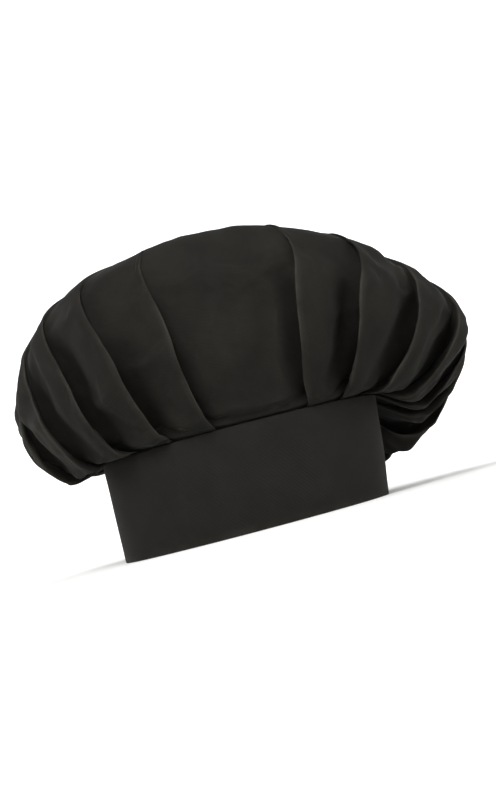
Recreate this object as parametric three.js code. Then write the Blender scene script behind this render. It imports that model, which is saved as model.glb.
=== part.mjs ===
// A floppy chef hat: a deep pleated crown of soft cloth on a folded headband.
// Millimetres, +Z up. The hat stands on the rim of its headband, its plain front panel faces -Y,
// and its fuller, drooping side is at +X towards the back.

import * as THREE from 'three';

// Headband
const HEAD_GIRTH = 580;
const BAND_WALL = 2.2;
const BAND_HEIGHT = 69;
const BAND_FLARE = 4;
const BAND_LEAN = 5;

// Crown
const CROWN_OVERHANG = 58;
const CROWN_HEIGHT = 140;
const CROWN_WALL = 1.8;
const PLEAT_RISE = 4.6;
const PLEAT_STEP = 3.4;
const PANEL_PUFF = 2.4;
const PLEAT_RUN_IN = 16;

// Seam between them
const SEAM_LAP = 9;
const SEAM_CLEARANCE = 0.4;

// Fineness of the facets
const BAND_SIDES = 72;
const PANEL_COLUMN_ANGLE = 6;
const CROWN_ROWS = 15;

// Crown sections around the hat, clockwise seen from above, with 0 at the front (-Y) and 90 at +X.
// Out, for belly and waist: share of the crown's overhang, measured out from the band's top edge.
// Out, for shoulder and crest: share of the crown's radius.
// Drop: share of the band's height, down from its top edge. Up: share of the crown's height above it.
const SECTIONS = [
  { azimuth: -135, bellyOut: 0.50, bellyDrop: 0.02, waistOut: 0.88, waistUp: 0.20,
    shoulderOut: 0.88, shoulderUp: 0.56, crestOut: 0.62, crestUp: 0.79 },
  { azimuth: -90, bellyOut: 0.42, bellyDrop: 0.09, waistOut: 0.83, waistUp: 0.21,
    shoulderOut: 0.85, shoulderUp: 0.60, crestOut: 0.61, crestUp: 0.85 },
  { azimuth: -45, bellyOut: 0.29, bellyDrop: -0.04, waistOut: 0.69, waistUp: 0.35,
    shoulderOut: 0.83, shoulderUp: 0.67, crestOut: 0.56, crestUp: 0.885 },
  { azimuth: 0, bellyOut: 0.15, bellyDrop: -0.16, waistOut: 0.47, waistUp: 0.40,
    shoulderOut: 0.76, shoulderUp: 0.70, crestOut: 0.52, crestUp: 0.91 },
  { azimuth: 45, bellyOut: 0.30, bellyDrop: 0.00, waistOut: 0.83, waistUp: 0.32,
    shoulderOut: 0.88, shoulderUp: 0.575, crestOut: 0.61, crestUp: 0.80 },
  { azimuth: 90, bellyOut: 0.68, bellyDrop: 0.30, waistOut: 1.38, waistUp: 0.10,
    shoulderOut: 1.03, shoulderUp: 0.42, crestOut: 0.70, crestUp: 0.70 },
  { azimuth: 135, bellyOut: 1.02, bellyDrop: 0.71, waistOut: 1.49, waistUp: -0.07,
    shoulderOut: 1.08, shoulderUp: 0.32, crestOut: 0.72, crestUp: 0.67 },
  { azimuth: 180, bellyOut: 0.68, bellyDrop: 0.42, waistOut: 1.16, waistUp: 0.06,
    shoulderOut: 0.98, shoulderUp: 0.40, crestOut: 0.68, crestUp: 0.72 },
];

// Highest point of the crown: share of its radius towards +Y, and of its height.
const POLE = { back: 0.13, up: 0.925 };

// Knife pleats: the azimuth of each fold line in degrees at the seam, the waist and the crest.
// Each pleat's upper cloth is the panel farther from the front.
const PLEATS = [
  { seam: -159, waist: -161, crest: -167 },
  { seam: -142, waist: -144, crest: -153 },
  { seam: -125, waist: -126, crest: -138 },
  { seam: -108, waist: -108, crest: -122 },
  { seam: -91, waist: -89, crest: -106 },
  { seam: -73, waist: -70, crest: -91 },
  { seam: -55, waist: -54, crest: -74 },
  { seam: -38, waist: -38, crest: -53 },
  { seam: -20, waist: -22, crest: -30 },
  { seam: 17, waist: 12.5, crest: 21 },
  { seam: 34, waist: 30, crest: 44 },
  { seam: 50, waist: 51, crest: 64 },
  { seam: 66, waist: 67, crest: 79 },
  { seam: 82, waist: 80, crest: 91 },
  { seam: 98, waist: 91, crest: 101 },
  { seam: 114, waist: 106, crest: 115 },
  { seam: 130, waist: 126, crest: 131 },
  { seam: 147, waist: 145, crest: 148 },
  { seam: 164, waist: 164, crest: 165 },
];

// Soft dents in the cloth between the pleats: middle and half width in degrees, the stretch of the
// crown that each runs along, and its depth as a share of a pleat's rise.
const DENTS = [
  { azimuth: 2, halfWidth: 13, from: 0.10, to: 0.80, depth: 0.9 },
  { azimuth: -31, halfWidth: 7, from: 0.20, to: 0.80, depth: 0.6 },
  { azimuth: -48, halfWidth: 7, from: 0.20, to: 0.70, depth: 0.6 },
  { azimuth: 26, halfWidth: 6, from: 0.28, to: 0.75, depth: 0.5 },
  { azimuth: 44, halfWidth: 7, from: 0.15, to: 0.75, depth: 0.7 },
  { azimuth: 104, halfWidth: 13, from: 0.00, to: 0.26, depth: 1.6 },
];

// Places along a crown section, from the band's edge (0) to the pole (1), one fifth for each
// stretch between two of its points: edge, belly, waist, shoulder, crest and pole.
const ALONG = { waist: 0.4, shoulder: 0.6, crest: 0.8 };

const FULL_TURN = 360;

const CLOTH_BLACK = 0x292826;
const BAND_BLACK = 0x2b2a28;
const CLOTH_ROUGHNESS = 0.92;

const radians = THREE.MathUtils.degToRad;
const bandInnerFoot = HEAD_GIRTH / (2 * Math.PI);
const crownRadius = bandOuterRadius(BAND_HEIGHT) + CROWN_OVERHANG;

// Inner radius of the band at a height above the rim.
function bandInnerRadius(height) {
  return bandInnerFoot + BAND_FLARE * height / BAND_HEIGHT;
}

function bandOuterRadius(height) {
  return bandInnerRadius(height) + BAND_WALL;
}

// How far the band's centre has moved towards +X at a height above the rim.
function bandCentre(height) {
  return BAND_LEAN * height / BAND_HEIGHT;
}

// A point at an azimuth in degrees, a radius about the band's centre line and a height.
function around(azimuth, radius, height, centre) {
  const angle = radians(azimuth);
  return new THREE.Vector3(centre + radius * Math.sin(angle), -radius * Math.cos(angle), height);
}

function catmullRom(a, b, c, d, t) {
  return 0.5 * (2 * b + (c - a) * t + (2 * a - 5 * b + 4 * c - d) * t * t
    + (3 * b - a - 3 * c + d) * t * t * t);
}

function catmullRomPoint(points, start, t) {
  const [a, b, c, d] = points.slice(start, start + 4);
  return new THREE.Vector3(
    catmullRom(a.x, b.x, c.x, d.x, t),
    catmullRom(a.y, b.y, c.y, d.y, t),
    catmullRom(a.z, b.z, c.z, d.z, t));
}

function smooth(share) {
  const x = THREE.MathUtils.clamp(share, 0, 1);
  return x * x * (3 - 2 * x);
}

// The section table's row at any azimuth, blended between its neighbours.
function sectionAt(azimuth) {
  const spacing = FULL_TURN / SECTIONS.length;
  const place = THREE.MathUtils.euclideanModulo(azimuth - SECTIONS[0].azimuth, FULL_TURN) / spacing;
  const first = Math.floor(place);
  const rows = [-1, 0, 1, 2].map(
    (step) => SECTIONS[THREE.MathUtils.euclideanModulo(first + step, SECTIONS.length)]);
  const blended = {};
  for (const column of Object.keys(SECTIONS[0])) {
    const [a, b, c, d] = rows.map((row) => row[column]);
    blended[column] = catmullRom(a, b, c, d, place - first);
  }
  return blended;
}

// The outer face of the crown at an azimuth, before its pleats: share 0 at the band's edge, 1 at the pole.
function crownPoint(azimuth, share) {
  const section = sectionAt(azimuth);
  const opposite = sectionAt(azimuth + FULL_TURN / 2);
  const edge = bandOuterRadius(BAND_HEIGHT);
  const at = (radius, height) => around(azimuth, radius, height, BAND_LEAN);
  const points = [
    at(edge - BAND_WALL, BAND_HEIGHT),
    at(edge + SEAM_CLEARANCE, BAND_HEIGHT + 2 * SEAM_CLEARANCE),
    at(edge + section.bellyOut * CROWN_OVERHANG, BAND_HEIGHT * (1 - section.bellyDrop)),
    at(edge + section.waistOut * CROWN_OVERHANG, BAND_HEIGHT + section.waistUp * CROWN_HEIGHT),
    at(section.shoulderOut * crownRadius, BAND_HEIGHT + section.shoulderUp * CROWN_HEIGHT),
    at(section.crestOut * crownRadius, BAND_HEIGHT + section.crestUp * CROWN_HEIGHT),
    new THREE.Vector3(BAND_LEAN, POLE.back * crownRadius, BAND_HEIGHT + POLE.up * CROWN_HEIGHT),
    around(azimuth + FULL_TURN / 2, opposite.crestOut * crownRadius,
      BAND_HEIGHT + opposite.crestUp * CROWN_HEIGHT, BAND_LEAN),
  ];
  // The first and the last point only steer the curve.
  const stretches = points.length - 3;
  const place = share * stretches;
  const start = Math.min(Math.floor(place), stretches - 1);
  return catmullRomPoint(points, start, place - start);
}

// Azimuth of a fold line at a share of the way from the seam to the pole.
function foldAzimuth(pleat, share) {
  if (share < ALONG.waist) {
    return THREE.MathUtils.lerp(pleat.seam, pleat.waist, smooth(share / ALONG.waist));
  }
  const rise = smooth((share - ALONG.waist) / (ALONG.crest - ALONG.waist));
  return THREE.MathUtils.lerp(pleat.waist, pleat.crest, rise);
}

// The cloth's columns across one panel, between two neighbouring fold lines: which panel they
// belong to, how far across it they lie, and how high its two edges stand (1 over, -1 under).
function panelColumns(left, right) {
  const width = THREE.MathUtils.euclideanModulo(right.seam - left.seam, FULL_TURN);
  const spaces = Math.ceil(width / PANEL_COLUMN_ANGLE);
  const leftEdge = left.seam > 0 ? 1 : -1;
  const rightEdge = right.seam > 0 ? -1 : 1;
  const columns = [];
  for (let i = 0; i <= spaces; i++) {
    columns.push({ left, right, across: i / spaces, leftEdge, rightEdge });
  }
  return columns;
}

function columnAzimuth(column, share) {
  const halfStep = THREE.MathUtils.radToDeg(PLEAT_STEP / 2 / bandOuterRadius(BAND_HEIGHT));
  const start = foldAzimuth(column.left, share) + halfStep;
  let end = foldAzimuth(column.right, share) - halfStep;
  if (end < start) {
    end += FULL_TURN;
  }
  return THREE.MathUtils.lerp(start, end, column.across);
}

// How deep the soft dents are at an azimuth and a share of the way to the pole.
function dentDepth(azimuth, share) {
  let depth = 0;
  for (const dent of DENTS) {
    const turn = THREE.MathUtils.euclideanModulo(azimuth - dent.azimuth + FULL_TURN / 2, FULL_TURN)
      - FULL_TURN / 2;
    const across = Math.abs(turn) / dent.halfWidth;
    const along = Math.abs(2 * share - dent.from - dent.to) / (dent.to - dent.from);
    depth += dent.depth * PLEAT_RISE * smooth(1 - across) * smooth(1 - along);
  }
  return depth;
}

// How far the pleated cloth stands off the plain crown. The pleats start flat at the seam and
// fade out towards the pole.
function relief(column, share, wayFromSeam) {
  const fade = smooth(wayFromSeam / PLEAT_RUN_IN)
    * smooth((1 - share) / (1 - ALONG.shoulder));
  const ramp = THREE.MathUtils.lerp(column.leftEdge, column.rightEdge, column.across);
  const puff = PANEL_PUFF * Math.sin(Math.PI * column.across);
  return fade * (ramp * PLEAT_RISE / 2 + puff - dentDepth(columnAzimuth(column, share), share));
}

// A closed body from two grids of points with the same rows and columns, the columns running
// once around: the outside from its first edge to its last, and back along the inside. Where a
// pole is given for each face the last row runs up to it, else a last strip closes the body.
function closedShell(outside, inside, poles) {
  const columns = outside[0].length;
  const loops = poles ? [...outside.toReversed(), ...inside] : [...outside, ...inside.toReversed()];
  const vertices = loops.flat();
  const triangles = [];
  const loopStrips = poles ? loops.length - 1 : loops.length;
  for (let row = 0; row < loopStrips; row++) {
    const next = (row + 1) % loops.length;
    for (let i = 0; i < columns; i++) {
      const j = (i + 1) % columns;
      const a = row * columns + i;
      const b = row * columns + j;
      const c = next * columns + j;
      const d = next * columns + i;
      if (poles) {
        triangles.push([a, c, b], [a, d, c]);
      } else {
        triangles.push([a, b, c], [a, c, d]);
      }
    }
  }
  if (poles) {
    const top = vertices.push(poles.outside) - 1;
    const under = vertices.push(poles.inside) - 1;
    const last = (loops.length - 1) * columns;
    for (let i = 0; i < columns; i++) {
      const j = (i + 1) % columns;
      triangles.push([i, j, top], [last + j, last + i, under]);
    }
  }
  return { vertices, triangles };
}

function clothMesh(name, body, colour) {
  const geometry = new THREE.BufferGeometry();
  const positions = body.vertices.flatMap((point) => [point.x, point.y, point.z]);
  geometry.setAttribute('position', new THREE.Float32BufferAttribute(positions, 3));
  geometry.setIndex(body.triangles.flat());
  geometry.computeVertexNormals();
  const material = new THREE.MeshStandardMaterial({
    name,
    color: colour,
    roughness: CLOTH_ROUGHNESS,
    metalness: 0,
  });
  const mesh = new THREE.Mesh(geometry, material);
  mesh.name = name;
  return mesh;
}

// The headband: cloth folded double into one even wall, wider at the top than at the rim.
function band() {
  const heights = [0, BAND_HEIGHT];
  const loop = (height, radius) => Array.from({ length: BAND_SIDES }, (_, i) => around(
    i * FULL_TURN / BAND_SIDES, radius, height, bandCentre(height)));
  const outside = heights.map((height) => loop(height, bandOuterRadius(height)));
  const inside = heights.map((height) => loop(height, bandInnerRadius(height)));
  return clothMesh('band', closedShell(outside, inside), BAND_BLACK);
}

// The rows of the crown's outer face before its pleats, for one column: up the inside of the band,
// over its top edge, and on to the pole.
function columnRows(column) {
  const tucked = (height) => around(columnAzimuth(column, 0),
    bandInnerRadius(height) - SEAM_CLEARANCE, height, bandCentre(height));
  const overEdge = around(columnAzimuth(column, 0), bandInnerRadius(BAND_HEIGHT),
    BAND_HEIGHT + 2 * SEAM_CLEARANCE, BAND_LEAN);
  const seam = [tucked(BAND_HEIGHT - SEAM_LAP), tucked(BAND_HEIGHT), overEdge];
  const rows = seam.map((point) => ({ point, share: 0, wayFromSeam: 0 }));
  const edge = crownPoint(columnAzimuth(column, 0), 0);
  for (let i = 0; i < CROWN_ROWS; i++) {
    const share = i / CROWN_ROWS;
    const point = crownPoint(columnAzimuth(column, share), share);
    rows.push({ point, share, wayFromSeam: point.distanceTo(edge) });
  }
  return rows;
}

// The crown: one disc of cloth, pleated into the band all around.
function crown() {
  const columns = PLEATS.flatMap((left, i) => panelColumns(left, PLEATS[(i + 1) % PLEATS.length]));
  const grid = columns.map(columnRows);
  const rowCount = grid[0].length;
  const outside = [];
  const inside = [];
  for (let row = 0; row < rowCount; row++) {
    outside.push([]);
    inside.push([]);
    for (let i = 0; i < columns.length; i++) {
      const { point, share, wayFromSeam } = grid[i][row];
      const ahead = grid[(i + 1) % columns.length][row].point;
      const behind = grid[(i + columns.length - 1) % columns.length][row].point;
      const above = grid[i][Math.min(row + 1, rowCount - 1)].point;
      const below = grid[i][Math.max(row - 1, 0)].point;
      const normal = ahead.clone().sub(behind).cross(above.clone().sub(below)).normalize();
      const stand = relief(columns[i], share, wayFromSeam);
      outside[row].push(point.clone().addScaledVector(normal, stand));
      inside[row].push(point.clone().addScaledVector(normal, stand - CROWN_WALL));
    }
  }
  const pole = crownPoint(0, 1);
  const poles = { outside: pole, inside: pole.clone().setZ(pole.z - CROWN_WALL) };
  return clothMesh('crown', closedShell(outside, inside, poles), CLOTH_BLACK);
}

const hat = new THREE.Group();
hat.name = 'chef_hat';
hat.add(band(), crown());

// The origin is the middle of the hat's box, at the surface that its rim stands on.
const middle = new THREE.Box3().setFromObject(hat).getCenter(new THREE.Vector3());
hat.position.set(-middle.x, -middle.y, 0);
hat.updateMatrixWorld(true);

export default hat;
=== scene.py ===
"""A floppy chef hat of black cloth: a full, knife-pleated crown on a folded headband.

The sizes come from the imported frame. Shapes are worked out in millimetres about the centre of the
headband's rim, with +Z up and the plain front panel at -Y, and are placed in metres.
"""

import logging
import math
from dataclasses import dataclass, field, fields
from enum import Enum

import bmesh
import bpy
import numpy as np
from mathutils import Matrix, Vector, noise


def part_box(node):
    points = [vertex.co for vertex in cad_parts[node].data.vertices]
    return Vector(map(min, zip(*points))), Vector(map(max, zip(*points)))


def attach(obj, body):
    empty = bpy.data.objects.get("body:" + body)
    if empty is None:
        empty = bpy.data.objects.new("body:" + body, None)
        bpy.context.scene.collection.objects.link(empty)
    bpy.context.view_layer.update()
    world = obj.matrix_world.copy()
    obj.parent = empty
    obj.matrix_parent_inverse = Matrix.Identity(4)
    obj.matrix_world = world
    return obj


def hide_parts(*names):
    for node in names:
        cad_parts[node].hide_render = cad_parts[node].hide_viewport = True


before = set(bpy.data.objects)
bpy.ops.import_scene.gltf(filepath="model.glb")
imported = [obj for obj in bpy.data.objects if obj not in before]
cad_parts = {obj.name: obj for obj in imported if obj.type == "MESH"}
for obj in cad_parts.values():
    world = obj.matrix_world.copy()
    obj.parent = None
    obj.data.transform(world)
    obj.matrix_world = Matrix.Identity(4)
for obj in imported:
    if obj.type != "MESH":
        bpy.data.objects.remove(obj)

LOG = logging.getLogger("chef_hat")

MM = 0.001
FULL_TURN = 360.0

Values = np.ndarray | float


class Side(Enum):
    """Which panel lies on top at a pleat: the one on its left or on its right, seen from outside."""

    LEFT = -1
    RIGHT = 1


def linear(hex_colour: str) -> tuple[float, float, float, float]:
    """Turns an sRGB hex colour into linear light.

    Args:
        hex_colour: Six hex digits, such as "1f1e1c".

    Returns:
        Red, green, blue and an alpha of 1.
    """
    parts = [int(hex_colour[i:i + 2], 16) / 255 for i in (0, 2, 4)]
    light = [c / 12.92 if c <= 0.04045 else ((c + 0.055) / 1.055) ** 2.4 for c in parts]
    return (light[0], light[1], light[2], 1.0)


def add_node(
    tree: bpy.types.NodeTree,
    kind: str,
    inputs: dict[str, object] | None = None,
    **settings: object,
) -> bpy.types.Node:
    """Adds a node with its settings, values and links.

    Args:
        tree: The material's node tree.
        kind: The node's type name.
        inputs: Each input's name or number, with a value or the socket to link to it.
        settings: The node's own settings.

    Returns:
        The new node.
    """
    node = tree.nodes.new(kind)
    for name, value in settings.items():
        setattr(node, name, value)
    for name, value in (inputs or {}).items():
        if isinstance(value, bpy.types.NodeSocket):
            tree.links.new(value, node.inputs[name])
        else:
            node.inputs[name].default_value = value
    return node


def smooth(share: Values) -> Values:
    """Eases a share from 0 to 1, level at both ends."""
    x = np.clip(share, 0.0, 1.0)
    return x * x * (3 - 2 * x)


def mix(start: Values, end: Values, share: Values) -> Values:
    """Blends from start to end by a share."""
    return start + (end - start) * share


def catmull_rom(before: Values, start: Values, end: Values, after: Values, t: Values) -> Values:
    """Follows the Catmull-Rom curve through four values.

    Args:
        before: The value before the stretch.
        start: The value at the stretch's start.
        end: The value at its end.
        after: The value after the stretch.
        t: How far along the stretch, from 0 to 1.

    Returns:
        The curve's value.
    """
    return 0.5 * (2 * start + (end - before) * t
                  + (2 * before - 5 * start + 4 * end - after) * t * t
                  + (3 * start - before - 3 * end + after) * t * t * t)


def around(azimuth: np.ndarray, radius: Values, height: Values, centre_x: Values) -> np.ndarray:
    """Places points about a vertical line.

    Args:
        azimuth: Angles in degrees, 0 at the front and 90 at +X.
        radius: Distances from the line.
        height: Heights above the rim.
        centre_x: The line's place along X.

    Returns:
        An array of points with X, Y and Z last.
    """
    angle = np.radians(azimuth)
    x = centre_x + radius * np.sin(angle)
    y = -radius * np.cos(angle)
    return np.stack([x, y, np.broadcast_to(height, x.shape)], axis=-1)


@dataclass(frozen=True)
class BandShape:
    """The headband's sizes in millimetres, with the rim's centre in the row frame."""

    height: float
    top_outer: float
    centre: Vector
    wall: float = 2.2
    flare: float = 4.0
    lean: float = 5.0

    @classmethod
    def from_frame(cls) -> "BandShape":
        """Reads the height, the width and the place off the band's solid."""
        low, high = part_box("band")
        top_outer = (high[1] - low[1]) / 2 / MM
        foot_outer = top_outer - cls.flare
        centre = Vector((low[0] / MM + foot_outer, (low[1] + high[1]) / 2 / MM, low[2] / MM))
        return cls((high[2] - low[2]) / MM, top_outer, centre)

    def outer(self, height: Values) -> Values:
        """Returns the outer radius at a height above the rim."""
        return self.top_outer - self.flare * (1 - height / self.height)

    def inner(self, height: Values) -> Values:
        """Returns the inner radius at a height above the rim."""
        return self.outer(height) - self.wall

    def centre_x(self, height: Values) -> Values:
        """Returns how far the band has leant towards +X at a height above the rim."""
        return self.lean * height / self.height


@dataclass(frozen=True)
class Section:
    """One section of the crown.

    Out, for belly and waist, is a share of the crown's overhang, measured from the band's top edge.
    Out, for shoulder and crest, is a share of the crown's radius. Drop is a share of the band's
    height below its top edge, and up is a share of the crown's height above it.
    """

    azimuth: float
    belly_out: float
    belly_drop: float
    waist_out: float
    waist_up: float
    shoulder_out: float
    shoulder_up: float
    crest_out: float
    crest_up: float


@dataclass(frozen=True)
class Pleat:
    """One knife pleat: its fold line's azimuth at the seam, waist and crest, in degrees.

    Depth is a share of the usual step, fold says how far the cloth doubles back under itself (1 is
    an upright step), and reach is where on the way to the pole the doubling ends.
    """

    seam: float
    waist: float
    crest: float
    depth: float
    fold: float
    reach: float

    @property
    def side(self) -> Side:
        """The panel on top: always the one farther from the front."""
        return Side.RIGHT if self.seam > 0 else Side.LEFT


@dataclass(frozen=True)
class SoftFold:
    """A soft ridge (height above 0) or dent (below 0) that runs up the crown.

    Start and end are azimuths in degrees at the shares where it begins and ends, half_width is in
    degrees, and height is in millimetres.
    """

    start: float
    end: float
    first: float
    last: float
    half_width: float
    height: float


SECTIONS = (
    Section(-135, 0.50, 0.02, 0.88, 0.20, 0.88, 0.56, 0.62, 0.79),
    Section(-90, 0.42, 0.09, 0.83, 0.21, 0.85, 0.60, 0.61, 0.85),
    Section(-45, 0.27, -0.10, 0.69, 0.35, 0.83, 0.67, 0.56, 0.885),
    Section(0, 0.15, -0.16, 0.47, 0.40, 0.76, 0.70, 0.52, 0.91),
    Section(45, 0.28, -0.07, 0.83, 0.32, 0.88, 0.575, 0.61, 0.80),
    Section(90, 0.68, 0.30, 1.38, 0.10, 1.03, 0.42, 0.70, 0.70),
    Section(135, 1.02, 0.71, 1.49, -0.07, 1.08, 0.32, 0.72, 0.67),
    Section(180, 0.68, 0.42, 1.16, 0.06, 0.98, 0.40, 0.68, 0.72),
)

PLEATS = (
    Pleat(-159, -161, -167, 0.9, 2.6, 0.36),
    Pleat(-142, -144, -153, 1.2, 2.8, 0.44),
    Pleat(-125, -126, -138, 0.8, 2.5, 0.36),
    Pleat(-108, -108, -122, 1.0, 2.8, 0.42),
    Pleat(-91, -89, -106, 0.9, 2.9, 0.44),
    Pleat(-73, -70, -91, 0.9, 2.9, 0.52),
    Pleat(-55, -54, -74, 1.1, 3.1, 0.60),
    Pleat(-38, -38, -53, 1.2, 3.1, 0.66),
    Pleat(-20, -22, -30, 1.0, 3.0, 0.70),
    Pleat(17, 12.5, 21, 1.0, 3.0, 0.72),
    Pleat(34, 30, 44, 1.3, 3.2, 0.70),
    Pleat(50, 51, 64, 1.0, 2.8, 0.54),
    Pleat(66, 67, 79, 1.2, 2.9, 0.46),
    Pleat(82, 80, 91, 0.9, 2.9, 0.36),
    Pleat(98, 91, 101, 1.1, 2.8, 0.40),
    Pleat(114, 106, 115, 1.1, 3.0, 0.36),
    Pleat(130, 126, 131, 0.9, 2.7, 0.34),
    Pleat(147, 145, 148, 1.2, 2.8, 0.40),
    Pleat(164, 164, 165, 0.9, 2.6, 0.34),
)

SOFT_FOLDS = (
    SoftFold(-1, 5, 0.16, 0.80, 9, -5.0),
    SoftFold(12, 14, 0.12, 0.62, 6, -5.0),
    SoftFold(-9, -13, 0.10, 0.84, 8, 2.6),
    SoftFold(-30, -36, 0.16, 0.70, 8, -4.6),
    SoftFold(-46, -63, 0.16, 0.68, 9, -4.4),
    SoftFold(25, 33, 0.12, 0.70, 7, -4.4),
    SoftFold(42, 58, 0.12, 0.66, 8, -4.8),
    SoftFold(-64, -76, 0.20, 0.70, 8, -2.6),
    SoftFold(-80, -97, 0.16, 0.64, 8, -3.0),
    SoftFold(72, 84, 0.14, 0.62, 7, -3.4),
    SoftFold(88, 92, 0.16, 0.60, 7, -2.6),
    SoftFold(106, 104, 0.00, 0.27, 13, -7.0),
    SoftFold(122, 118, 0.16, 0.60, 8, -3.0),
    SoftFold(138, 134, 0.12, 0.62, 8, -3.0),
    SoftFold(156, 160, 0.20, 0.70, 8, -3.0),
    SoftFold(180, 176, 0.15, 0.66, 10, -3.4),
    SoftFold(-151, -160, 0.18, 0.70, 8, -3.0),
    SoftFold(-134, -146, 0.20, 0.66, 8, -2.6),
    SoftFold(-117, -128, 0.20, 0.66, 8, -3.0),
)

# Layers of creases: how often each repeats around the crown and up it, its height in millimetres,
# and how far it is sharp valleys (1) rather than even waves (0).
CREASES = (
    (2.6, 2.2, 3.2, 0.0),
    (5.5, 3.4, 2.4, 0.5),
    (9.0, 7.0, 1.3, 0.6),
    (17.0, 14.0, 0.6, 0.2),
)


@dataclass(frozen=True)
class CrownShape:
    """The crown's cloth as a surface over azimuth and share of the way from seam to pole."""

    band: BandShape
    overhang: float = 58.0
    height: float = 140.0
    pole_back: float = 0.13
    pole_up: float = 0.925
    clearance: float = 0.4
    waist_at: float = 0.4
    crest_at: float = 0.8

    @property
    def radius(self) -> float:
        """The crown's nominal radius."""
        return self.band.top_outer + self.overhang

    def section(self, azimuth: np.ndarray) -> dict[str, np.ndarray]:
        """Blends the section table at any azimuths.

        Args:
            azimuth: Angles in degrees.

        Returns:
            Each column of the table by name.
        """
        spacing = FULL_TURN / len(SECTIONS)
        place = np.mod(azimuth - SECTIONS[0].azimuth, FULL_TURN) / spacing
        first = np.floor(place).astype(int)
        blended = {}
        for column in fields(Section):
            values = np.array([getattr(row, column.name) for row in SECTIONS], dtype=float)
            near = [values[(first + step) % len(SECTIONS)] for step in (-1, 0, 1, 2)]
            blended[column.name] = catmull_rom(*near, place - first)
        return blended

    def surface(self, azimuth: np.ndarray, share: np.ndarray) -> np.ndarray:
        """Finds the plain crown's outer face, before pleats and folds.

        Args:
            azimuth: Angles in degrees.
            share: How far each point is from the band's edge (0) to the pole (1).

        Returns:
            Points in millimetres about the rim's centre.
        """
        here = self.section(azimuth)
        across = self.section(azimuth + FULL_TURN / 2)
        edge, top, lean = self.band.top_outer, self.band.height, self.band.lean

        def at(radius: Values, height: Values, turn: float = 0.0) -> np.ndarray:
            """Places a point of the section, turned about the hat's middle."""
            return around(azimuth + turn, radius, height, lean)

        pole = np.zeros(azimuth.shape + (3,))
        pole[...] = (lean, self.pole_back * self.radius, top + self.pole_up * self.height)
        points = np.stack([
            at(edge - self.band.wall, top),
            at(edge + self.clearance, top + 2 * self.clearance),
            at(edge + here["belly_out"] * self.overhang, top * (1 - here["belly_drop"])),
            at(edge + here["waist_out"] * self.overhang, top + here["waist_up"] * self.height),
            at(here["shoulder_out"] * self.radius, top + here["shoulder_up"] * self.height),
            at(here["crest_out"] * self.radius, top + here["crest_up"] * self.height),
            pole,
            at(across["crest_out"] * self.radius, top + across["crest_up"] * self.height,
               FULL_TURN / 2),
        ])
        stretches = len(points) - 3
        place = share * stretches
        first = np.minimum(np.floor(place).astype(int), stretches - 1)
        near = [np.take_along_axis(points, (first + step)[None, ..., None], axis=0)[0]
                for step in range(4)]
        return catmull_rom(*near, (place - first)[..., None])

    def fold_line(self, pleat: Pleat, share: np.ndarray) -> np.ndarray:
        """Returns a fold line's azimuth at shares of the way from the seam to the pole."""
        low = mix(pleat.seam, pleat.waist, smooth(share / self.waist_at))
        rise = smooth((share - self.waist_at) / (self.crest_at - self.waist_at))
        return np.where(share < self.waist_at, low, mix(pleat.waist, pleat.crest, rise))


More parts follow.
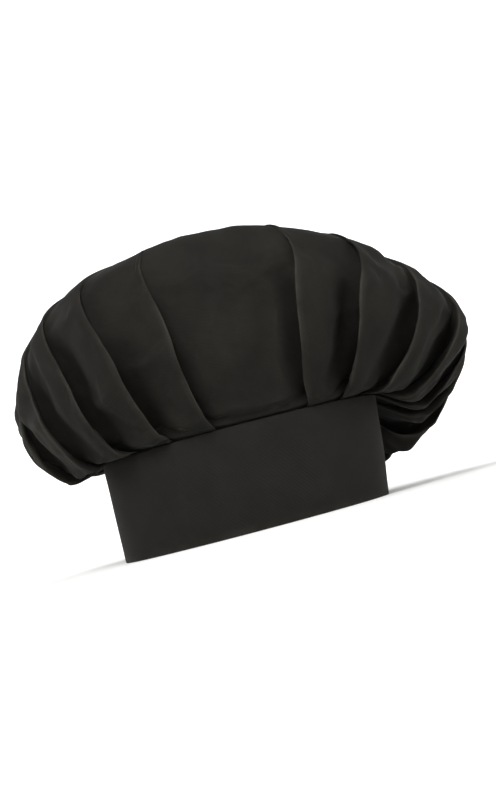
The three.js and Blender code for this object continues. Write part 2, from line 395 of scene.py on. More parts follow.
@dataclass(frozen=True)
class ClothFinish:
    """Black cotton and polyester twill, woven, dyed and pressed.

    Twill is matt and takes little gloss. Folded edges are painted greyer than flat cloth, a painted
    highlight for the grazing light that their ribs and hairy yarn catch, partly edge wear; cloth that
    lies deep in a fold is painted darker, as painted shade. Sizes are in millimetres.
    """

    name: str
    colour: str
    faded: str
    wear_and_highlight_colour: str
    shade_colour: str
    roughness: float
    rib_spacing: float
    rib_depth: float
    slub_size: float
    mottle_size: float

    def material(self) -> bpy.types.Material:
        """Builds the cloth's node material."""
        material = bpy.data.materials.new(self.name)
        material.use_nodes = True
        tree = material.node_tree
        tree.nodes.clear()
        cloth = add_node(tree, "ShaderNodeUVMap", uv_map="cloth").outputs["UV"]
        place = add_node(tree, "ShaderNodeTexCoord").outputs["Object"]
        # A wave texture's diagonal bands repeat every 2 pi / (10 sqrt 2 scale) along their slope.
        rib_scale = 2 * math.pi / (10 * math.sqrt(2) * self.rib_spacing * MM)
        ribs = add_node(tree, "ShaderNodeTexWave",
                        {"Vector": cloth, "Scale": rib_scale, "Distortion": 1.2, "Detail": 1.0,
                         "Detail Scale": 0.4},
                        wave_type="BANDS", bands_direction="DIAGONAL", wave_profile="SIN")
        slubs = add_node(tree, "ShaderNodeTexNoise",
                         {"Vector": cloth, "Scale": 1 / (self.slub_size * MM), "Detail": 3.0,
                          "Roughness": 0.6})
        mottle = add_node(tree, "ShaderNodeTexNoise",
                          {"Vector": place, "Scale": 1 / (self.mottle_size * MM), "Detail": 3.0,
                           "Roughness": 0.55})
        relief = add_node(tree, "ShaderNodeMix",
                          {0: 0.45, 2: ribs.outputs["Fac"], 3: slubs.outputs["Fac"]},
                          data_type="FLOAT")
        bump = add_node(tree, "ShaderNodeBump",
                        {"Strength": 0.4, "Distance": self.rib_depth * MM,
                         "Height": relief.outputs[0]})
        fade = add_node(tree, "ShaderNodeMapRange",
                        {"Value": mottle.outputs["Fac"], "From Min": 0.35, "From Max": 0.7})
        base = add_node(tree, "ShaderNodeMix",
                        {0: fade.outputs["Result"], 6: linear(self.colour),
                         7: linear(self.faded)}, data_type="RGBA")
        grain = add_node(tree, "ShaderNodeMapRange",
                         {"Value": relief.outputs[0], "To Min": 0.92, "To Max": 1.08})
        woven = add_node(tree, "ShaderNodeVectorMath",
                         {0: base.outputs[2], "Scale": grain.outputs["Result"]},
                         operation="SCALE")
        # Painted highlight along folded edges and the band's bottom fold, partly edge wear: a greyer
        # colour in uneven patches.
        wear_and_highlight = add_node(tree, "ShaderNodeAttribute", attribute_name="wear_and_highlight")
        patches = add_node(tree, "ShaderNodeMapRange",
                           {"Value": mottle.outputs["Fac"], "From Min": 0.38, "From Max": 0.62,
                            "To Min": 0.25, "To Max": 0.85})
        wear_and_highlight_mask = add_node(tree, "ShaderNodeMath",
                          {0: wear_and_highlight.outputs["Fac"], 1: patches.outputs["Result"]},
                          operation="MULTIPLY")
        # Painted shade: cloth that lies deep in a fold is painted a darker colour.
        painted_shade = add_node(tree, "ShaderNodeAttribute", attribute_name="painted_shade")
        shaded_colour = add_node(tree, "ShaderNodeMix",
                        {0: painted_shade.outputs["Fac"], 6: woven.outputs[0],
                         7: linear(self.shade_colour)}, data_type="RGBA")
        dressed = add_node(tree, "ShaderNodeMix",
                           {0: wear_and_highlight_mask.outputs[0], 6: shaded_colour.outputs[2],
                            7: linear(self.wear_and_highlight_colour)}, data_type="RGBA")
        shader = add_node(tree, "ShaderNodeBsdfPrincipled",
                          {"Base Color": dressed.outputs[2], "Roughness": self.roughness,
                           "IOR": 1.45, "Specular IOR Level": 0.06, "Sheen Weight": 0.02,
                           "Sheen Roughness": 0.4, "Normal": bump.outputs["Normal"]})
        add_node(tree, "ShaderNodeOutputMaterial", {"Surface": shader.outputs["BSDF"]})
        return material


@dataclass(frozen=True)
class PaperFinish:
    """Seamless studio paper: even, matt and nearly white."""

    name: str = "seamless_paper"
    colour: str = "f4f4f3"

    def material(self) -> bpy.types.Material:
        """Builds the paper's node material."""
        material = bpy.data.materials.new(self.name)
        material.use_nodes = True
        shader = material.node_tree.nodes["Principled BSDF"]
        shader.inputs["Base Color"].default_value = linear(self.colour)
        shader.inputs["Roughness"].default_value = 0.9
        shader.inputs["Specular IOR Level"].default_value = 0.1
        return material


# Real ribs are 0.35 mm apart, too fine to show at a hat's distance, so they are drawn coarser.
# In each cloth the fourth colour is painted highlight for folded edges, partly edge wear, and the fifth
# is painted shade for cloth deep in folds.
SOFT_TWILL = ClothFinish("soft_black_twill", "1b1a18", "201f1c", "3a3833", "12110f", 0.9, 2.0, 0.16,
                         1.6, 34.0)
PRESSED_TWILL = ClothFinish("pressed_black_twill", "1b1a18", "201e1c", "3a3834", "12110f", 0.88,
                            2.0, 0.12, 1.6, 46.0)


def piece_from(
    name: str, mesh_data: bmesh.types.BMesh, finish: ClothFinish | PaperFinish
) -> bpy.types.Object:
    """Turns a bmesh into a smooth-shaded, dressed object at the origin.

    Args:
        name: The piece's plain name.
        mesh_data: The finished bmesh, which is freed.
        finish: What the piece is made of.

    Returns:
        The new object.
    """
    mesh = bpy.data.meshes.new(name)
    mesh_data.to_mesh(mesh)
    mesh_data.free()
    mesh.shade_smooth()
    mesh.materials.append(finish.material())
    piece = bpy.data.objects.new(name, mesh)
    bpy.context.scene.collection.objects.link(piece)
    return piece


@dataclass
class Headband:
    """The headband: cloth folded double, with round folded edges and one plain join at the back."""

    shape: BandShape
    sides: int = 240
    wall_steps: int = 14
    edge_round: float = 0.95
    wave_height: float = 0.5
    join_azimuth: float = 180.0
    join_width: float = 1.6
    join_depth: float = 0.55
    finish: ClothFinish = PRESSED_TWILL

    def profile(self) -> list[tuple[float, float]]:
        """Lists the wall's outline as (share of the wall from its inner face, height)."""
        height, wall, r = self.shape.height, self.shape.wall, self.edge_round
        outline = []
        for step in range(self.wall_steps + 1):
            outline.append((1.0, mix(r, height - r, step / self.wall_steps)))
        corner_steps = 5
        for step in range(1, corner_steps):
            turn = math.pi * step / corner_steps
            outline.append((0.5 + 0.5 * math.cos(turn), height - r + r * math.sin(turn)))
        for step in range(self.wall_steps + 1):
            outline.append((0.0, mix(height - r, r, step / self.wall_steps)))
        for step in range(1, corner_steps):
            turn = math.pi * step / corner_steps
            outline.append((0.5 - 0.5 * math.cos(turn), r - r * math.sin(turn)))
        return outline

    def build(self) -> bpy.types.Object:
        """Spins the folded wall round, then flares, leans and softens it."""
        shape = self.shape
        foot_inner = shape.inner(0.0)
        shell = bmesh.new()
        ring = [shell.verts.new((foot_inner + across * shape.wall, 0.0, height))
                for across, height in self.profile()]
        edges = [shell.edges.new((ring[i], ring[(i + 1) % len(ring)])) for i in range(len(ring))]
        bmesh.ops.spin(shell, geom=ring + edges, cent=(0, 0, 0), axis=(0, 0, 1),
                       angle=2 * math.pi, steps=self.sides, use_merge=True)
        bmesh.ops.remove_doubles(shell, verts=shell.verts, dist=0.001)
        bmesh.ops.recalc_face_normals(shell, faces=shell.faces)
        uv = shell.loops.layers.uv.new("cloth")
        wear_and_highlight = shell.verts.layers.float.new("wear_and_highlight")
        for vert in shell.verts:
            self.settle(vert, wear_and_highlight)
        for face in shell.faces:
            middle = face.calc_center_median()
            turn_to = math.atan2(middle.x - shape.centre_x(middle.z), -middle.y)
            for loop in face.loops:
                co = loop.vert.co
                turn = math.atan2(co.x - shape.centre_x(co.z), -co.y)
                turn += 2 * math.pi * round((turn_to - turn) / (2 * math.pi))
                loop[uv].uv = (turn * shape.top_outer * MM, co.z * MM)
        bmesh.ops.translate(shell, verts=shell.verts, vec=shape.centre)
        bmesh.ops.scale(shell, verts=shell.verts, vec=(MM, MM, MM))
        return piece_from("headband", shell, self.finish)

    def settle(self, vert: bmesh.types.BMVert, wear_and_highlight: bmesh.types.BMLayerItem) -> None:
        """Moves one vertex of the straight wall to its place in the softened cloth and sets its painted
        highlight and edge wear.

        Args:
            vert: The vertex.
            wear_and_highlight: The layer of painted highlight and edge wear on the cloth there.
        """
        shape = self.shape
        height = vert.co.z
        radius = math.hypot(vert.co.x, vert.co.y)
        across = (radius - shape.inner(0.0)) / shape.wall
        azimuth = math.degrees(math.atan2(vert.co.x, -vert.co.y))
        middle = math.sin(math.pi * min(1.0, max(0.0, height / shape.height)))
        angle = math.radians(azimuth)
        slow = noise.noise(Vector((math.sin(angle) * 2.1, math.cos(angle) * 2.1, height / 60)))
        wave = self.wave_height * middle * 2 * slow
        off_join = abs((azimuth - self.join_azimuth + 180) % FULL_TURN - 180)
        near_join = off_join * math.radians(1) * shape.top_outer / self.join_width
        groove = self.join_depth * max(0.0, 1 - near_join) * max(0.0, across * 2 - 1)
        radius = shape.inner(height) + across * shape.wall + wave - groove
        vert.co.x = shape.centre_x(height) + radius * math.sin(angle)
        vert.co.y = -radius * math.cos(angle)
        # The band's bottom fold takes painted highlight, partly edge wear.
        rim = max(0.0, 1 - height / (2 * self.edge_round))
        vert[wear_and_highlight] = 0.7 * rim


@dataclass(frozen=True)
class LaidCloth:
    """Cloth laid out in rows from the tucked edge to the pole and columns around the crown.

    points are in millimetres, edge says how near each is to a folded edge, which sets its painted
    highlight and edge wear, shelter how deep it lies in a fold, which sets its painted shade, and flat
    is its place on the flat disc of cloth.
    """

    points: np.ndarray
    edge: np.ndarray
    fold_shade: np.ndarray
    flat: np.ndarray


@dataclass
class Drape:
    """A short run of cloth simulation that crumples laid-out cloth a little, as wear does.

    The cloth is let out by a few hundredths, so it buckles, and each point is held loosely to where
    it was laid. Only the creases are kept: the sag of the whole and the finest noise are taken out.
    """

    frames: int = 14
    steps_a_frame: int = 5
    let_out: float = 0.03
    mass: float = 0.15
    stretch: float = 15.0
    shear: float = 5.0
    bending: float = 0.5
    air_damping: float = 2.0
    gravity_share: float = 0.12
    pin_stiffness: float = 0.6
    loose_hold: float = 0.05
    edge_hold: float = 0.5
    seam_rows: int = 9
    seam_fade_rows: int = 8
    fine_passes: int = 2
    crown_top: float = 0.6
    top_fade: float = 0.15
    top_passes: int = 24
    broad_passes: int = 60
    most_moved: float = 4.0

    def hold(self, row: int, edge: float) -> float:
        """Returns how firmly a point is held.

        Args:
            row: The point's row, from the tucked edge up.
            edge: How near it is to a folded edge.
        """
        from_seam = (row - self.seam_rows) / self.seam_fade_rows
        return min(1.0, self.loose_hold + self.edge_hold * edge + max(0.0, 1 - max(0.0, from_seam)))

    def smoothed(self, moves: np.ndarray, passes: int) -> np.ndarray:
        """Averages each point's move with its neighbours' a number of times.

        Args:
            moves: The moves in rows and columns, the columns running once around.
            passes: How many times to average.

        Returns:
            The smoother moves.
        """
        for _ in range(passes):
            padded = np.concatenate([moves[:1], moves, moves[-1:]])
            moves = (padded[:-2] + 2 * padded[1:-1] + padded[2:]) / 4
            moves = (np.roll(moves, 1, axis=1) + 2 * moves + np.roll(moves, -1, axis=1)) / 4
        return moves

    def simulate(self, piece: bpy.types.Object) -> np.ndarray:
        """Runs the cloth and returns each vertex's final place, leaving the piece as it was."""
        modifier = piece.modifiers.new("drape", "CLOTH")
        cloth = modifier.settings
        cloth.quality = self.steps_a_frame
        cloth.mass = self.mass
        cloth.tension_stiffness = self.stretch
        cloth.compression_stiffness = self.stretch
        cloth.shear_stiffness = self.shear
        cloth.bending_stiffness = self.bending
        cloth.air_damping = self.air_damping
        cloth.vertex_group_mass = "held"
        cloth.pin_stiffness = self.pin_stiffness
        cloth.shrink_min = -self.let_out
        cloth.effector_weights.gravity = self.gravity_share
        modifier.collision_settings.use_collision = False
        for frame_number in range(1, self.frames + 1):
            bpy.context.scene.frame_set(frame_number)
        shown = piece.evaluated_get(bpy.context.evaluated_depsgraph_get()).data
        ends = np.zeros(len(shown.vertices) * 3, dtype=np.float32)
        shown.vertices.foreach_get("co", ends)
        piece.modifiers.remove(modifier)
        bpy.context.scene.frame_set(1)
        return ends.reshape(-1, 3)

    def settle(self, piece: bpy.types.Object, size: tuple[int, int]) -> None:
        """Crumples a piece that was laid out in rows and columns.

        Args:
            piece: The piece, with row and column attributes and one for painted highlight and edge
                wear.
            size: Its number of rows and columns.
        """
        mesh = piece.data
        count = len(mesh.vertices)
        rows, columns = np.zeros(count, dtype=int), np.zeros(count, dtype=int)
        edges, starts = np.zeros(count), np.zeros(count * 3, dtype=np.float32)
        mesh.attributes["row"].data.foreach_get("value", rows)
        mesh.attributes["column"].data.foreach_get("value", columns)
        mesh.attributes["wear_and_highlight"].data.foreach_get("value", edges)
        mesh.vertices.foreach_get("co", starts)
        held = piece.vertex_groups.new(name="held")
        for index in range(count):
            held.add([index], self.hold(rows[index], edges[index]), "REPLACE")
        moves = np.zeros(size + (3,))
        moves[rows, columns] = self.simulate(piece) - starts.reshape(-1, 3)
        piece.vertex_groups.remove(held)
        moves[-1] = moves[-2].mean(axis=0)
        share = np.arange(size[0]) / (size[0] - 1)
        fine = mix(self.smoothed(moves, self.fine_passes), self.smoothed(moves, self.top_passes),
                   smooth((share - self.crown_top) / self.top_fade)[:, None, None])
        creases = fine - self.smoothed(moves, self.broad_passes)
        length = np.linalg.norm(creases, axis=-1, keepdims=True)
        most = self.most_moved * MM
        creases *= most * np.tanh(length / most) / np.maximum(length, 1e-9)
        creases *= smooth((np.arange(size[0]) - self.seam_rows) / self.seam_fade_rows)[:, None, None]
        LOG.info("drape: creases of %.1f mm, at most %.1f mm",
                 np.linalg.norm(creases, axis=-1).mean() / MM,
                 np.linalg.norm(creases, axis=-1).max() / MM)
        moved = starts.reshape(-1, 3) + creases[rows, columns]
        mesh.vertices.foreach_set("co", moved.ravel())
        mesh.update()


@dataclass
class Crown:
    """The crown: one disc of cloth, folded over itself at each pleat and gathered into the band."""

    shape: CrownShape
    step_height: float = 3.7
    under_share: float = 2.1
    open_share: float = 0.35
    dive_angle: float = 4.2
    zone_at_seam: float = 5.6
    zone_at_crest: float = 4.4
    seam_layer: float = 2.0
    panel_puff: float = 3.2
    dome_lift: float = 2.2
    rise_run: float = 60.0
    sink_run: float = 18.0
    seam_lap: float = 9.0
    zone_columns: int = 16
    panel_spacing: float = 1.15
    rows: int = 92
    stretches: int = 5
    stretch_length: float = 24.0
    tuck_rows: int = 4
    cloth: float = 0.9
    drape: Drape = field(default_factory=Drape)
    finish: ClothFinish = SOFT_TWILL
    let_go_run: float = 0.24
    folds_end: float = 0.93
    upright_fold: float = 1.05
    step_until: float = 0.42
    step_before_reach: float = 0.14
    step_fade: float = 0.32
    doubling_share: float = 0.18
    doubling_power: float = 1.25
    dome_at: float = 0.62
    dome_run: float = 0.36
    gather_height: float = 2.2
    gather_reach: float = 0.12
    droop_azimuth: float = 95.0
    droop_half_width: float = 50.0
    merge_distance: float = 0.004
    wear_and_highlight_at: float = 0.36
    # How far the cloth sinks below the plain crown before its painted shade is full, in millimetres.
    deep: float = 10.0

    def shares(self) -> np.ndarray:
        """Lists the rows' places from the band's edge (0) to the pole (1)."""
        return np.linspace(0.0, 1.0, self.rows + 1)

    def zone(self, share: np.ndarray) -> np.ndarray:
        """Returns half the width of a pleat's folded strip, in degrees."""
        return mix(self.zone_at_seam, self.zone_at_crest, smooth(share / self.shape.crest_at))

    def fold(self, pleat: Pleat, share: np.ndarray) -> np.ndarray:
        """Returns how far the cloth doubles back at a pleat: over 1 it does, 0 is none."""
        let_go = smooth((share - pleat.reach + self.let_go_run / 2) / self.let_go_run)
        fade = 1 - smooth((share - pleat.reach) / (self.folds_end - pleat.reach))
        return mix(pleat.fold, self.upright_fold, let_go) * fade

    def levels(self, pleat: Pleat, share: np.ndarray) -> tuple[np.ndarray, np.ndarray]:
        """Says how far the cloth stands off the plain crown beside a pleat, in millimetres.

        Near the seam the upper panel keeps to the band's edge and the lower one lies inside it.

        Args:
            pleat: The pleat.
            share: How far each row is from the seam to the pole.

        Returns:
            The height of the lower and of the upper panel's edge.
        """
        way = self.way(share)
        fades_from = min(self.step_until, pleat.reach - self.step_before_reach)
        fade = 1 - smooth((share - fades_from) / self.step_fade)
        step = self.step_height * pleat.depth * (1.1 - 0.4 * smooth(share / 0.8))
        upper = step * smooth(way / self.rise_run)
        lower = -mix(self.seam_layer, self.under_share * step, smooth(way / self.sink_run))
        return lower * fade, upper * fade

    def way(self, share: np.ndarray) -> np.ndarray:
        """Returns about how far a share is from the seam along the cloth, in millimetres."""
        return share * self.stretches * self.stretch_length

    def doubling(self, fold: np.ndarray) -> np.ndarray:
        """Returns how far the visible fold lies from a pleat's middle, as a share of its zone."""
        return self.doubling_share * np.maximum(fold - 1, 0) ** self.doubling_power

    def middle(self, pleat: Pleat, share: np.ndarray) -> np.ndarray:
        """Returns the azimuth of the middle of a pleat's folded strip."""
        away = self.doubling(self.fold(pleat, share)) * self.zone(share)
        return self.shape.fold_line(pleat, share) + pleat.side.value * away

    def soft_relief(self, azimuth: np.ndarray, share: np.ndarray) -> np.ndarray:
        """Adds up the soft folds at each point, in millimetres."""
        relief = np.zeros(azimuth.shape)
        for fold in SOFT_FOLDS:
            along = (share - fold.first) / (fold.last - fold.first)
            line = mix(fold.start, fold.end, np.clip(along, 0, 1))
            turn = np.mod(azimuth - line + FULL_TURN / 2, FULL_TURN) - FULL_TURN / 2
            ends = smooth(1 - np.abs(2 * along - 1)) ** 0.5
            relief += fold.height * smooth(1 - np.abs(turn) / fold.half_width) * ends
        return relief

    def creases(self, azimuth: np.ndarray, share: np.ndarray) -> np.ndarray:
        """Adds the small uneven creases of soft cloth, in millimetres.

        They are long up the crown and narrow across it, and strongest where the cloth is gathered.
        """
        relief = np.zeros(azimuth.shape)
        for row, column in np.ndindex(azimuth.shape):
            place = share[row, column]
            drift = 5 * noise.noise(Vector((azimuth[row, column] / 60, 7 * place, 3.1)))
            angle = math.radians(azimuth[row, column] + drift)
            value = 0.0
            for turns, lengths, height, valleys in CREASES:
                wave = noise.noise(Vector((
                    turns * math.sin(angle), turns * math.cos(angle), lengths * place + turns)))
                calm = 1 - smooth((place - 0.45) / 0.25) * min(1.0, turns / 8)
                value += height * calm * mix(wave, 0.3 - 1.6 * abs(wave), valleys)
            gathered = self.gather_height * math.exp(-place / self.gather_reach) * noise.noise(Vector((
                14.0 * math.sin(angle), 14.0 * math.cos(angle), 3.0 * place)))
            off_droop = abs(azimuth[row, column] - self.droop_azimuth)
            droop = 1 + 0.7 * smooth(1 - off_droop / self.droop_half_width)
            relief[row, column] = (value + gathered) * droop
        return relief

    def panel(self, left: Pleat, right: Pleat, azimuth: np.ndarray) -> np.ndarray:
        """Says how far a panel stands off the plain crown.

        Args:
            left: The pleat on the panel's left.
            right: The pleat on its right.
            azimuth: The azimuth at each row, from the left fold line to the right one.

        Returns:
            The height at each row, in millimetres.
        """
        share = self.shares()
        turn = FULL_TURN if right.seam < left.seam else 0.0
        start = self.shape.fold_line(left, share)
        end = self.shape.fold_line(right, share) + turn
        across = np.clip((azimuth - start) / (end - start), 0, 1)
        height = np.zeros(share.shape)
        for pleat, near, gap in ((left, 1 - across, azimuth - start),
                                 (right, across, end - azimuth)):
            lower, upper = self.levels(pleat, share)
            over = (pleat is left) == (pleat.side is Side.RIGHT)
            resting = upper if over else self.open_share * lower
            height += resting * near
            if not over:
                height += (lower - resting) * np.exp(-np.maximum(gap, 0) / self.dive_angle)
        puff = self.panel_puff * smooth(self.way(share) / 50) * (1 - smooth((share - 0.5) / 0.35))
        front_or_back = 0.5 + 0.5 * np.cos(2 * np.radians(azimuth))
        dome = self.dome_lift * front_or_back * smooth(1 - np.abs(share - self.dome_at) / self.dome_run)
        return height + dome + puff * np.sin(math.pi * across) ** 1.5

    def columns(self) -> tuple[np.ndarray, np.ndarray, np.ndarray]:
        """Lays the cloth's columns around the crown.

        Returns:
            For each row and column: the azimuth, how far the cloth stands off the plain crown and
            how near it is to a folded edge.
        """
        share = self.shares()
        azimuths, stands, edges = [], [], []
        for index, pleat in enumerate(PLEATS):
            before, after = PLEATS[index - 1], PLEATS[(index + 1) % len(PLEATS)]
            middle = self.middle(pleat, share)
            zone = self.zone(share)
            fold = self.fold(pleat, share)
            back = FULL_TURN if before.seam > pleat.seam else 0.0
            for q in np.linspace(-1, 1, self.zone_columns + 1):
                azimuth = middle + zone * (q - fold * q * (1 - q * q) ** 2)
                right_side = self.panel(pleat, after, azimuth)
                left_side = self.panel(before, pleat, azimuth + back)
                crossed = smooth((q * pleat.side.value + 0.6) / 1.2)
                rightness = crossed if pleat.side is Side.RIGHT else 1 - crossed
                azimuths.append(azimuth)
                stands.append(mix(left_side, right_side, rightness))
                # A line of painted highlight, partly edge wear, runs along the visible folded edge of a
                # well-doubled pleat.
                on_edge = max(0.0, 1 - abs(q * pleat.side.value - self.wear_and_highlight_at) / 0.2)
                edges.append(on_edge * np.clip(fold - 0.9, 0, 1))
            turn = FULL_TURN if after.seam < pleat.seam else 0.0
            start = middle + zone
            end = self.middle(after, share) - zone + turn
            count = max(4, round((end[0] - start[0]) / self.panel_spacing))
            for s in np.arange(1, count) / count:
                azimuth = mix(start, end, s)
                azimuths.append(azimuth)
                stands.append(self.panel(pleat, after, azimuth))
                edges.append(np.zeros(share.shape))
        return np.array(azimuths).T, np.array(stands).T, np.array(edges).T

    def grid(self) -> LaidCloth:
        """Works out where every point of the cloth lies."""
        band, shape = self.shape.band, self.shape
        azimuth, stand, edge = self.columns()
        share = np.broadcast_to(self.shares()[:, None], azimuth.shape)
        plain = shape.surface(azimuth, share)
        turn_step, rise_step = 0.05, 0.002
        ahead = (shape.surface(azimuth + turn_step, share)
                 - shape.surface(azimuth - turn_step, share))
        rise = (shape.surface(azimuth, np.minimum(share + rise_step, 1.0))
                - shape.surface(azimuth, np.maximum(share - rise_step, 0.0)))
        normal = np.cross(ahead, rise)
        normal[-1] = (0.0, 0.0, 1.0)
        normal /= np.linalg.norm(normal, axis=-1, keepdims=True)
        way = self.way(share)
        near_pole = 1 - smooth((share - 0.85) / 0.15)
        folds = self.soft_relief(azimuth, share) * smooth(way / 30)
        creases = self.creases(azimuth, share) * (1 - 0.6 * np.minimum(edge, 1))
        creases = (np.minimum(creases, 0) * smooth(way / 8)
                   + np.maximum(creases, 0) * smooth(way / 45))
        stand = stand + (folds + creases) * near_pole
        points = plain + normal * stand[..., None]
        tucked, first_stand = [], stand[0]
        for row in range(self.tuck_rows):
            height = band.height - self.seam_lap * (1 - row / (self.tuck_rows - 1))
            radius = band.inner(height) - shape.clearance + first_stand
            tucked.append(around(azimuth[0], radius, height, band.centre_x(height)))
        over = around(azimuth[0], band.inner(band.height) + 0.2 * first_stand,
                      band.height + 2 * shape.clearance - 0.8 * first_stand, band.lean)
        points = np.concatenate([np.array(tucked), over[None], points])
        extra = self.tuck_rows + 1
        unseen = np.zeros((extra, edge.shape[1]))
        # Painted highlight and edge wear along folded edges, and painted shade where the cloth sinks
        # deep into a fold; none on the tucked rows.
        rub_and_highlight = np.concatenate([unseen, edge * smooth(way / 4)])
        fold_shade = np.concatenate([unseen, smooth(-stand / self.deep) * near_pole])
        steps = np.linalg.norm(np.diff(points, axis=0), axis=-1)
        from_pole = np.concatenate([np.cumsum(steps[::-1], axis=0)[::-1],
                                    np.zeros((1, points.shape[1]))])
        mean = from_pole.mean(axis=1, keepdims=True)
        waist = points[extra + round(shape.waist_at * self.rows)]
        widths = np.linalg.norm(np.roll(waist, -1, axis=0) - waist, axis=-1)
        angle = 2 * math.pi * (np.cumsum(widths) - widths) / widths.sum()
        flat = np.stack([mean * np.sin(angle), -mean * np.cos(angle)], axis=-1)
        return LaidCloth(points, rub_and_highlight, fold_shade, flat)

    def lay_out(self, cloth: LaidCloth) -> bmesh.types.BMesh:
        """Shapes a flat grid of cloth into the crown and closes it round.

        Args:
            cloth: Where every point of the cloth lies.

        Returns:
            The closed sheet, with each vertex's row and column kept as layers.
        """
        rows, columns = cloth.points.shape[:2]
        sheet = bmesh.new()
        bmesh.ops.create_grid(sheet, x_segments=columns, y_segments=rows - 1, size=1.0)
        wear_and_highlight = sheet.verts.layers.float.new("wear_and_highlight")
        painted_shade = sheet.verts.layers.float.new("painted_shade")
        row_layer = sheet.verts.layers.int.new("row")
        column_layer = sheet.verts.layers.int.new("column")
        uv = sheet.loops.layers.uv.new("cloth")
        for vert in sheet.verts:
            vert[column_layer] = round((vert.co.x + 1) / 2 * columns) % columns
            vert[row_layer] = round((vert.co.y + 1) / 2 * (rows - 1))
        for face in sheet.faces:
            for loop in face.loops:
                loop[uv].uv = cloth.flat[loop.vert[row_layer], loop.vert[column_layer]] * MM
        for vert in sheet.verts:
            place = vert[row_layer], vert[column_layer]
            vert.co = (Vector(cloth.points[place]) + self.shape.band.centre) * MM
            # Each vertex takes its painted highlight and edge wear and its painted shade.
            vert[wear_and_highlight] = cloth.edge[place]
            vert[painted_shade] = cloth.fold_shade[place]
        meeting = [vert for vert in sheet.verts
                   if vert[column_layer] == 0 or vert[row_layer] == rows - 1]
        bmesh.ops.remove_doubles(sheet, verts=meeting, dist=self.merge_distance * MM)
        bmesh.ops.recalc_face_normals(sheet, faces=sheet.faces)
        return sheet

    def build(self) -> bpy.types.Object:
        """Lays the cloth out, lets it drape and gives it thickness."""
        laid = self.grid()
        piece = piece_from("pleated_crown", self.lay_out(laid), self.finish)
        self.drape.settle(piece, laid.points.shape[:2])
        for layer in ("row", "column"):
            piece.data.attributes.remove(piece.data.attributes[layer])
        wall = piece.modifiers.new("cloth thickness", "SOLIDIFY")
        wall.thickness = self.cloth * MM
        wall.offset = -1.0
        wall.use_even_offset = False
        return piece


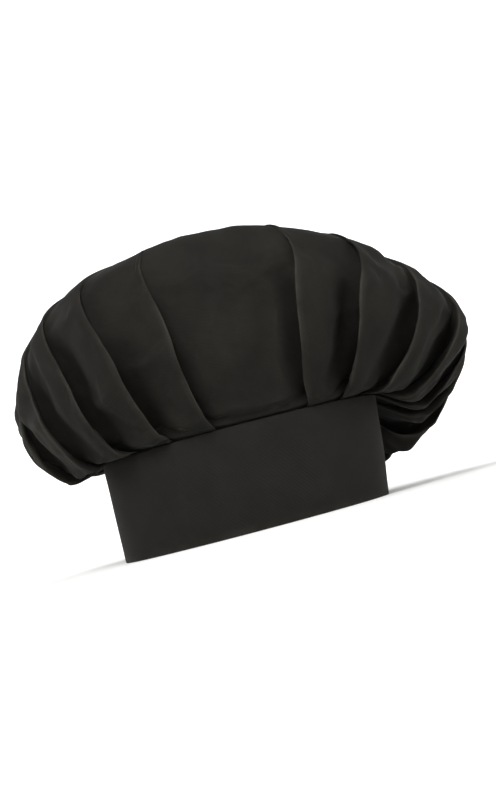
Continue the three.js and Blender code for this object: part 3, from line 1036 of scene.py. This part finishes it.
@dataclass
class Studio:
    """A pale seamless floor that curves up all round, soft lamps and the camera."""

    band: BandShape
    floor_rings: tuple[float, ...] = (0.0, 0.3, 1.0)
    floor_radius: float = 2.6
    cove_radius: float = 1.2
    wall_height: float = 2.4
    azimuth: float = -12.1
    camera_height: float = 0.030
    roll: float = 14.8
    distance: float = 1.1
    mm_per_pixel: float = 0.719
    frame_width: int = 496
    frame_height: int = 800
    sensor: float = 36.0
    hat_middle_pixel: tuple[float, float] = (251.0, 388.0)
    hat_middle: tuple[float, float, float] = (4.0, 0.0, 0.098)

    def floor(self) -> bpy.types.Object:
        """Spins the floor and its upturned edge from one outline."""
        paper = bmesh.new()
        outline = [(radius, 0.0) for radius in (*self.floor_rings, self.floor_radius)]
        curve_steps = 12
        for step in range(1, curve_steps + 1):
            turn = math.pi / 2 * step / curve_steps
            outline.append((self.floor_radius + self.cove_radius * math.sin(turn),
                            self.cove_radius * (1 - math.cos(turn))))
        outline.append((self.floor_radius + self.cove_radius, self.wall_height))
        verts = [paper.verts.new((radius, 0.0, height)) for radius, height in outline]
        edges = [paper.edges.new(pair) for pair in zip(verts, verts[1:])]
        bmesh.ops.spin(paper, geom=verts + edges, cent=(0, 0, 0), axis=(0, 0, 1),
                       angle=2 * math.pi, steps=96, use_merge=True)
        bmesh.ops.remove_doubles(paper, verts=paper.verts, dist=1e-5)
        bmesh.ops.recalc_face_normals(paper, faces=paper.faces)
        floor = piece_from("studio_floor", paper, PaperFinish())
        return floor

    def lamp(self, name: str, place: tuple[float, float, float], size: float, power: float,
             aim: tuple[float, float, float] = (0.0, 0.0, 0.1)) -> None:
        """Adds a square soft lamp.

        Args:
            name: The lamp's name.
            place: Where it stands, in metres.
            size: The length of its side, in metres.
            power: Its power in watts.
            aim: The point that it faces, by default the hat.
        """
        data = bpy.data.lights.new(name, "AREA")
        data.shape = "SQUARE"
        data.size = size
        data.energy = power
        lamp = bpy.data.objects.new(name, data)
        lamp.location = place
        lamp.rotation_mode = "QUATERNION"
        towards = Vector(aim) - Vector(place)
        lamp.rotation_quaternion = towards.to_track_quat("-Z", "Y")
        bpy.context.scene.collection.objects.link(lamp)

    def lights(self) -> None:
        """Sets a big soft lamp high at the front left, a weaker one at the right, and the sky."""
        self.lamp("key_softbox", (-0.8, -1.9, 1.7), 1.3, 66.0)
        self.lamp("fill_softbox", (1.8, -1.2, 1.3), 1.4, 12.0)
        self.lamp("backdrop_left", (-1.6, 0.9, 1.6), 1.2, 60.0, (-0.8, 3.6, 0.6))
        self.lamp("backdrop_right", (1.6, 0.9, 1.6), 1.2, 60.0, (0.8, 3.6, 0.6))
        world = bpy.data.worlds.new("studio_sky")
        world.use_nodes = True
        world.node_tree.nodes["Background"].inputs["Color"].default_value = (1.0, 1.0, 1.0, 1.0)
        world.node_tree.nodes["Background"].inputs["Strength"].default_value = 0.48
        bpy.context.scene.world = world
        bpy.context.scene.view_settings.view_transform = "Standard"

    def camera(self) -> bpy.types.Object:
        """Places the camera at the photograph's angle, just above the floor."""
        middle = Vector(self.hat_middle)
        middle.x *= MM
        drop = math.asin((self.camera_height - middle.z) / self.distance)
        turn, roll = math.radians(self.azimuth), math.radians(self.roll)
        back = Vector((math.sin(turn) * math.cos(drop), -math.cos(turn) * math.cos(drop),
                       math.sin(drop)))
        level = Vector((math.cos(turn), math.sin(turn), 0.0))
        upright = level.cross(-back)
        right = math.cos(roll) * level - math.sin(roll) * upright
        up = math.sin(roll) * level + math.cos(roll) * upright
        across = (self.hat_middle_pixel[0] - self.frame_width / 2) * self.mm_per_pixel * MM
        down = (self.hat_middle_pixel[1] - self.frame_height / 2) * self.mm_per_pixel * MM
        target = middle - right * across + up * down
        data = bpy.data.cameras.new("camera")
        data.sensor_width = self.sensor
        data.lens = self.distance / MM / self.mm_per_pixel * self.sensor / self.frame_height
        data.clip_start, data.clip_end = 0.01, 50.0
        camera = bpy.data.objects.new("camera", data)
        bpy.context.scene.collection.objects.link(camera)
        camera.matrix_world = Matrix.Translation(target + back * self.distance) @ Matrix(
            (right, up, back)).transposed().to_4x4()
        bpy.context.scene.camera = camera
        return camera


def main() -> None:
    """Builds the hat and its studio, and reports each piece."""
    logging.basicConfig(level=logging.INFO, format="%(name)s: %(message)s")
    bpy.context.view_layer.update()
    band_shape = BandShape.from_frame()
    headband = Headband(band_shape).build()
    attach(headband, "root")
    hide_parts("band")
    LOG.info("headband: %d faces", len(headband.data.polygons))
    crown = Crown(CrownShape(band_shape)).build()
    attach(crown, "root")
    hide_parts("crown")
    LOG.info("pleated_crown: %d faces", len(crown.data.polygons))
    studio = Studio(band_shape)
    studio.floor()
    studio.lights()
    studio.camera()


if __name__ == "__main__":
    main()
